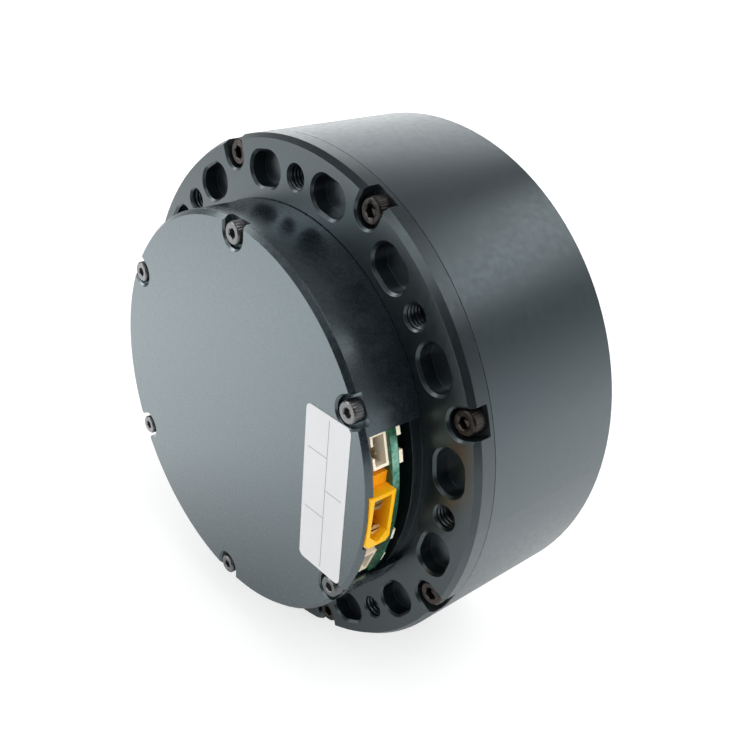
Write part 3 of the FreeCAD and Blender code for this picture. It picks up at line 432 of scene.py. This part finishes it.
# One finish for each slot, and the nodes that have one of their own.
finish = {
    "black_anodised": shell_finish,
    "output_metal": machined("clear_anodised", (0.50, 0.51, 0.53), 0.36),
    "screw_steel": brushed("oxide_steel", (0.068, 0.060, 0.056), 0.30, 0.95, (0.20, 0.185, 0.175)),
    "bright_screw": brushed("plain_steel", (0.55, 0.54, 0.52), 0.30),
    "gear_steel": machined("ground_steel", (0.50, 0.50, 0.51), 0.28, pitch=0.12),
    "bearing_steel": machined("bearing_polish", (0.68, 0.68, 0.69), 0.12, pitch=0.10, depth=0.0004),
    "yoke_steel": machined("yoke_turned", (0.34, 0.34, 0.35), 0.40, pitch=0.25),
    "lamination_steel": laminated("laminations", (0.22, 0.22, 0.24)),
    "magnet_nickel": brushed("nickel_plate", (0.60, 0.59, 0.55), 0.22),
    "enamel_copper": wound("enamel_wire", (0.55, 0.20, 0.07)),
    "lead_sleeve": moulded("lead_insulation", (0.42, 0.035, 0.028), 0.46, grain=3200.0),
    "board_green": board_finish("solder_mask"),
    "chip_black": moulded("epoxy_package", (0.022, 0.022, 0.024), 0.55, grain=3600.0, depth=0.010),
    "spacer_brass": machined("turned_brass", (0.62, 0.44, 0.19), 0.30),
    "connector_yellow": shaded_hood("yellow_nylon"),
    "connector_ivory": moulded("ivory_nylon", IVORY, 0.40, subsurface=0.10),
    "contact_gold": brushed("gold_flash", (0.86, 0.62, 0.28), 0.24),
    "contact_tin": brushed("tin_plate", (0.66, 0.62, 0.52), 0.32),
    "seal_rubber": moulded("nitrile", (0.012, 0.012, 0.012), 0.62, grain=2600.0),
}
own = {
    "rear_cap": cap_finish,
    "rear_housing": flange_finish,
    "motor_housing": shell_finish,
    "bearing_retainer": retainer_finish,
    "signal_connectors": moulded("ivory_socket", IVORY, 0.40, subsurface=0.10, painted_shade_well=SOCKET_PAINTED_SHADE),
}
slot_of = {s["node"]: s["material_slot"] for s in record["subparts"]}
for name, thing in nodes.items():
    thing.data.materials.clear()
    thing.data.materials.append(own.get(name, finish[slot_of[name]]))


# ---------------------------------------------------------------- mesh helpers
SHARP_ANGLE = math.radians(32)


def made(name, mesh_maker, material, body, smooth=True):
    """A new mesh object from a bmesh function, with its finish and body."""
    mesh = bpy.data.meshes.new(name)
    bm = bmesh.new()
    mesh_maker(bm)
    bmesh.ops.recalc_face_normals(bm, faces=bm.faces)
    bm.to_mesh(mesh)
    bm.free()
    mesh.materials.append(material)
    thing = bpy.data.objects.new(name, mesh)
    scene.collection.objects.link(thing)
    if smooth:
        mesh.shade_smooth()
        mesh.set_sharp_from_angle(angle=SHARP_ANGLE)
    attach(thing, body)
    return thing


def polar(place, radius, y, angle):
    """A point at a radius, a height and an angle in radians round the +Y axis of a place."""
    return place @ Vector((radius * math.cos(angle) * MM, y * MM, radius * math.sin(angle) * MM))


def ring(bm, place, count, radius, y, shape=None):
    """A loop of points round the place's +Y axis. shape(radius, angle) may change the radius."""
    loop = []
    for k in range(count):
        angle = 2 * math.pi * k / count
        loop.append(bm.verts.new(polar(place, shape(radius, angle) if shape else radius, y, angle)))
    return loop


def skin(bm, loops):
    """Faces from each loop of points to the next."""
    count = len(loops[0])
    for a, b in zip(loops, loops[1:]):
        for k in range(count):
            bm.faces.new((a[k], a[(k + 1) % count], b[(k + 1) % count], b[k]))


def ring_places(radius, start, count):
    """Places on a circle round the output axis, each with its own +X pointing outwards."""
    outwards = Matrix.Translation((radius * MM, 0, 0))
    turns = [math.radians(-start - 360.0 * k / count) for k in range(count)]
    return [Matrix.Rotation(turn, 4, "Y") @ outwards for turn in turns]


# ---------------------------------------------------------------- label place, left blank
def label_outline(steps=6):
    """Points of a rectangle with round corners, steps to each corner."""
    points = []
    for side_x, side_z, start in ((1, 1, 0), (-1, 1, 90), (-1, -1, 180), (1, -1, 270)):
        for k in range(steps + 1):
            angle = math.radians(start + 90 * k / steps)
            points.append(((LABEL_WIDTH / 2 - LABEL_CORNER) * side_x + LABEL_CORNER * math.cos(angle),
                           (LABEL_LENGTH / 2 - LABEL_CORNER) * side_z + LABEL_CORNER * math.sin(angle)))
    return points


def build_label(bm):
    glue_depth, proud = 0.02, 0.09
    cos_tilt, sin_tilt = math.cos(LABEL_TILT), math.sin(LABEL_TILT)
    loops = []
    for y in (CAP_FACE + glue_depth, CAP_FACE - proud):
        loop = []
        for across, along in label_outline():
            x = LABEL_CENTRE[0] + across * cos_tilt - along * sin_tilt
            z = LABEL_CENTRE[1] + across * sin_tilt + along * cos_tilt
            loop.append(bm.verts.new((x * MM, y * MM, z * MM)))
        loops.append(loop)
    skin(bm, loops)
    under, face = loops
    bm.faces.new(face)
    bm.faces.new(list(reversed(under)))


# ---------------------------------------------------------------- screws and threads
def socket_screw(bm, place, head, height, chamfer, key, shank, length):
    """Knurled socket-head screw seated at y = 0. Its head rises towards -Y, its shank ends at length."""
    ridges, points_per_ridge, ridge_depth = 28, 4, 0.075
    foot, foot_height = 0.12, 0.10
    shoulder, shoulder_inset = 0.35 * chamfer, 0.55 * chamfer
    lip_width, lip_depth = 0.10, 0.14
    socket_depth, cone_depth = 0.52 * height, 0.25 * key
    tip, tip_sides, overlap = 0.4, 20, 0.2
    sixth = math.radians(60)
    count = ridges * points_per_ridge

    def knurl(radius, angle):
        wave = 0.5 + 0.5 * math.cos(ridges * angle)
        return radius - ridge_depth * wave ** 2

    def hexagon(radius, angle):
        return radius / math.cos(angle % sixth - sixth / 2)

    profile = [
        (head - foot, 0.0, None),
        (head, -foot_height, knurl),
        (head, chamfer - height, knurl),
        (head - shoulder_inset, shoulder - height, None),
        (head - chamfer, -height, None),
        (key / 2 / math.cos(sixth / 2) + lip_width, -height, None),
        (key / 2, lip_depth - height, hexagon),
        (key / 2, socket_depth - height, hexagon),
    ]
    loops = [ring(bm, place, count, radius, y, shape) for radius, y, shape in profile]
    skin(bm, loops)
    bottom = loops[-1]
    point = bm.verts.new(polar(place, 0.0, socket_depth + cone_depth - height, 0.0))
    for k in range(count):
        bm.faces.new((bottom[k], bottom[(k + 1) % count], point))
    bm.faces.new(loops[0])
    rod = [ring(bm, place, tip_sides, radius, y)
           for radius, y in ((shank, -overlap), (shank, length - tip), (shank - tip, length))]
    skin(bm, rod)
    bm.faces.new(rod[0])
    bm.faces.new(rod[-1])


def build_screws(bm, node, circle, start, count, size):
    """The screws of one CAD node. Their heads and tips end where the node's box ends."""
    low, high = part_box(node)
    seat = low[1] / MM + size["height"]
    length = high[1] / MM - seat
    for place in ring_places(circle, start, count):
        socket_screw(bm, place @ Matrix.Translation((0, seat * MM, 0)), length=length, **size)


def build_cap_screws(bm):
    build_screws(bm, "cap_screws", CAP_SCREW_CIRCLE, CAP_SCREW_START, CAP_SCREW_COUNT, M2_SCREW)


def build_flange_screws(bm):
    build_screws(bm, "flange_screws", FLANGE_SCREW_CIRCLE, FLANGE_SCREW_START, FLANGE_SCREW_COUNT,
                 M25_SCREW)


def thread(bm, place, low, high, wall, pitch):
    """Inner screw thread: one ridge wound up the wall of a hole, which runs out at both ends."""
    steps = 28
    into_wall = 0.02
    ridge, root, crest = 0.30 * pitch, 0.42 * pitch, 0.08 * pitch
    margin, run_out, first_share = 0.45, 0.4, 0.06
    count = int(((high - low) / pitch - 2 * margin) * steps)
    loops = []
    for k in range(count + 1):
        level = low + pitch * (margin + k / steps)
        turns_from_end = min(k, count - k) / steps
        inner = wall - ridge * min(1.0, first_share + turns_from_end / run_out)
        outer = wall + into_wall
        profile = [(outer, level - root), (inner, level - crest),
                   (inner, level + crest), (outer, level + root)]
        angle = 2 * math.pi * k / steps
        loops.append([bm.verts.new(polar(place, radius, y, angle)) for radius, y in profile])
    skin(bm, loops)
    bm.faces.new(loops[0])
    bm.faces.new(list(reversed(loops[-1])))


def build_threads(bm, mount, start, lead_in, reach):
    """A thread in each hole of a bolt pattern, from lead_in to reach below the mount's face."""
    dims = mounts[mount]["dims"]
    face = mounts[mount]["pos_m"][1] / MM
    outwards = mounts[mount]["axis"][1]
    low, high = sorted(face - outwards * depth for depth in (lead_in, reach))
    for place in ring_places(dims["pcd_mm"] / 2, start, dims["count"]):
        thread(bm, place, low, high, dims["hole_r_mm"], M4_PITCH)


def build_rear_threads(bm):
    build_threads(bm, "rear_bolts", start=0.0, lead_in=0.3, reach=3.65)


def build_front_threads(bm):
    build_threads(bm, "front_bolts", start=22.5, lead_in=0.3, reach=4.15)


def build_output_threads(bm):
    build_threads(bm, "output_bolts", start=0.0, lead_in=0.35, reach=6.9)


# ---------------------------------------------------------------- camera
CAMERA_PLACE = Vector((107.72, -86.84, 84.00))
# Degrees. The first two say where its back points, as in heading(), and the roll is round its line of sight.
CAMERA_AZIMUTH, CAMERA_ELEVATION, CAMERA_ROLL = -40.0408, 34.5343, 3.8217


def build_camera():
    """The camera that was fitted to the photograph's circles."""
    data = bpy.data.cameras.new("camera")
    data.sensor_width = 36.0
    data.lens = 40.82
    data.shift_x = 0.1073
    data.shift_y = 0.1006
    data.clip_start = 0.005
    data.clip_end = 20.0
    camera = bpy.data.objects.new("camera", data)
    scene.collection.objects.link(camera)
    turn = (Matrix.Rotation(math.radians(90 + CAMERA_AZIMUTH), 4, "Z")
            @ Matrix.Rotation(math.radians(90 - CAMERA_ELEVATION), 4, "X")
            @ Matrix.Rotation(math.radians(CAMERA_ROLL), 4, "Z"))
    camera.matrix_world = Matrix.Translation(CAMERA_PLACE * MM) @ turn
    scene.camera = camera


build_camera()

# ---------------------------------------------------------------- stage, in metres
WHITE = (1.0, 1.0, 1.0)
FLOOR_DROP = 0.0002
floor_level = cad_box[0][2] - FLOOR_DROP


def white_floor():
    """Pale floor that glows whiter with distance from the object, with painted shade near it. Reflections
    see a painted pool of light on it to the object's left and a softer painted glow over its far half, both
    dark again where a painted shadow lies at the object's foot."""
    t = Finish("floor_white")
    x, y, _ = t.axes()
    rays = t.add("ShaderNodeLightPath").outputs

    def distance(from_x, from_y):
        return t.length(t.minus(x, from_x), t.minus(y, from_y))

    pool_edge, pool_core, pool_glow = 0.20, 0.03, 0.62
    half_start, half_end, half_glow = 0.03, 0.13, 0.52
    shadow_core, shadow_edge = 0.012, 0.075
    near, far, near_glow, far_glow = 0.12, 0.9, 0.56, 0.95
    # Painted light seen only in reflections: a pool to the object's left and a glow over its far half, both
    # cut by a painted shadow at the object's foot.
    painted_pool = t.ramp(distance(-0.15, -0.07), pool_edge, pool_core, 0.0, pool_glow)
    painted_far_glow = t.ramp(t.minus(x, y), half_start, half_end, half_glow, 0.0)
    clear_of_painted_shadow = t.ramp(distance(0.010, -0.005), shadow_core, shadow_edge)
    mirrored = t.times(clear_of_painted_shadow, t.plus(painted_pool, painted_far_glow))
    # Seen by the camera, the floor glows less near the object: painted shade round it, on top of its real
    # shadow.
    white = t.ramp(distance(0.0, 0.0), near, far, near_glow, far_glow)
    seen = t.math("MAXIMUM", rays["Is Camera Ray"], rays["Is Transmission Ray"])
    glow = t.math("MAXIMUM", t.times(seen, white), t.times(rays["Is Glossy Ray"], mirrored))
    t.set(Roughness=0.9, Emission_Color=WHITE, Emission_Strength=glow,
          Base_Color=t.mix(t.noise(scale=30.0), (0.54, 0.54, 0.54), (0.56, 0.56, 0.56)))
    return t.material


def black_cloth():
    """Cloth that shines nowhere."""
    t = Finish("flag_cloth")
    t.set(Roughness=1.0, Specular_IOR_Level=0.0,
          Base_Color=t.mix(t.noise(scale=40.0), (0.010, 0.010, 0.011), (0.016, 0.016, 0.017)))
    return t.material


def flat_card(name, half_size, segments, material):
    """A square grid for the stage, facing up."""
    mesh = bpy.data.meshes.new(name)
    bm = bmesh.new()
    bmesh.ops.create_grid(bm, x_segments=segments, y_segments=segments, size=half_size)
    bm.to_mesh(mesh)
    bm.free()
    mesh.materials.append(material)
    card = bpy.data.objects.new(name, mesh)
    scene.collection.objects.link(card)
    return card


def heading(azimuth, elevation):
    """Unit vector. azimuth runs in degrees from +X towards +Y, and elevation from the floor up."""
    a, e = math.radians(azimuth), math.radians(elevation)
    return Vector((math.cos(e) * math.cos(a), math.cos(e) * math.sin(a), math.sin(e)))


FLOOR_HALF = 3.0
floor = flat_card("floor", FLOOR_HALF, 8, white_floor())
floor.location = (0, 0, floor_level)

# A matt black flag stands on the floor behind the camera. Only reflections show it.
FLAG_HALF, FLAG_WIDTH, FLAG_HEIGHT = 0.45, 0.648, 0.54
FLAG_AZIMUTH, FLAG_DISTANCE = -37, 0.45
flag = flat_card("flag", FLAG_HALF, 4, black_cloth())
flag_heading = heading(FLAG_AZIMUTH, 0)
flag.location = flag_heading * FLAG_DISTANCE + Vector((0, 0, floor_level + FLAG_HEIGHT / 2))
flag.scale = (FLAG_WIDTH / (2 * FLAG_HALF), FLAG_HEIGHT / (2 * FLAG_HALF), 1.0)
flag.rotation_euler = (-flag_heading).to_track_quat("Z", "Y").to_euler()
flag.visible_camera = flag.visible_diffuse = flag.visible_shadow = flag.visible_transmission = False


# ---------------------------------------------------------------- light, in metres
def build_world():
    """White to the camera and soft fill to the object. Reflections see a dim room, with a pale low horizon
    on the side that the output faces."""
    world = bpy.data.worlds.new("studio")
    scene.world = world
    world.use_nodes = True
    w = Nodes(world.node_tree, "ShaderNodeOutputWorld")

    def sky(colour, strength):
        node = w.add("ShaderNodeBackground")
        w.feed(node.inputs["Color"], colour)
        w.feed(node.inputs["Strength"], strength)
        return node.outputs[0]

    def blend(factor, a, b):
        node = w.add("ShaderNodeMixShader")
        for socket, source in zip(node.inputs, (factor, a, b)):
            w.join(source, socket)
        return node.outputs[0]

    horizon_top, horizon_glow = 0.42, 0.66
    behind_start, behind_full = -0.2, 0.3
    room_glow, fill_glow = 0.17, 0.62
    split = w.add("ShaderNodeSeparateXYZ")
    w.join(w.add("ShaderNodeTexCoord").outputs["Generated"], split.inputs[0])
    horizon = w.ramp(split.outputs["Z"], horizon_top, 0.0, 0.0, horizon_glow, smooth=True)
    behind = w.ramp(split.outputs["Y"], behind_start, behind_full, smooth=True)
    room = sky((0.96, 0.99, 1.0), w.plus(w.times(horizon, behind), room_glow))
    fill = sky((0.98, 0.99, 1.0), fill_glow)
    rays = w.add("ShaderNodeLightPath").outputs
    seen = w.math("MAXIMUM", rays["Is Camera Ray"], rays["Is Transmission Ray"])
    lighting = blend(rays["Is Glossy Ray"], fill, room)
    w.join(blend(seen, lighting, sky(WHITE, 1.0)), w.output.inputs["Surface"])


def softbox(name, azimuth, elevation, distance, size, radiance, mirrored=True, lit=True):
    """Area lamp that faces the object. A radiance of 1 looks white. mirrored is off for a lamp that no
    reflection shows, and lit for one that only reflections show."""
    data = bpy.data.lights.new(name, "AREA")
    data.shape = "RECTANGLE"
    data.size, data.size_y = size
    data.energy = radiance * math.pi * size[0] * size[1]
    lamp = bpy.data.objects.new(name, data)
    scene.collection.objects.link(lamp)
    lamp.location = heading(azimuth, elevation) * distance
    lamp.rotation_euler = (-lamp.location).to_track_quat("-Z", "Y").to_euler()
    lamp.visible_diffuse = lit
    lamp.visible_glossy = mirrored


build_world()
# Each has its azimuth, elevation, distance, size and radiance.
softbox("left_card", 135, 18, 0.8, (0.65, 0.55), 1.35)
softbox("top_strip", 72, 38, 0.8, (0.5, 0.16), 1.8)
softbox("front_card", -113, 20, 1.0, (1.5, 0.85), 1.25)
softbox("top_card", 0, 74, 0.9, (0.45, 0.45), 1.7)
softbox("right_fill", -5, 20, 1.0, (0.9, 0.6), 3.6, mirrored=False)
softbox("edge_card", -146, 34, 1.0, (0.75, 0.36), 2.6, lit=False)

# ---------------------------------------------------------------- pieces
oxide_finish = finish["screw_steel"]
output_finish = finish["output_metal"]
made("label_plate", build_label, paper("label_stock"), "housing", smooth=False)
cap_heads = made("cap_screw_detail", build_cap_screws, cap_screw_painted_light_finish, "housing")
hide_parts("cap_screws")
flange_heads = made("flange_screw_detail", build_flange_screws, oxide_finish, "housing")
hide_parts("flange_screws")
made("rear_threads", build_rear_threads, flange_finish, "housing")
made("front_threads", build_front_threads, shell_finish, "housing")
made("output_threads", build_output_threads, output_finish, "output")

scene.view_settings.view_transform = "Standard"
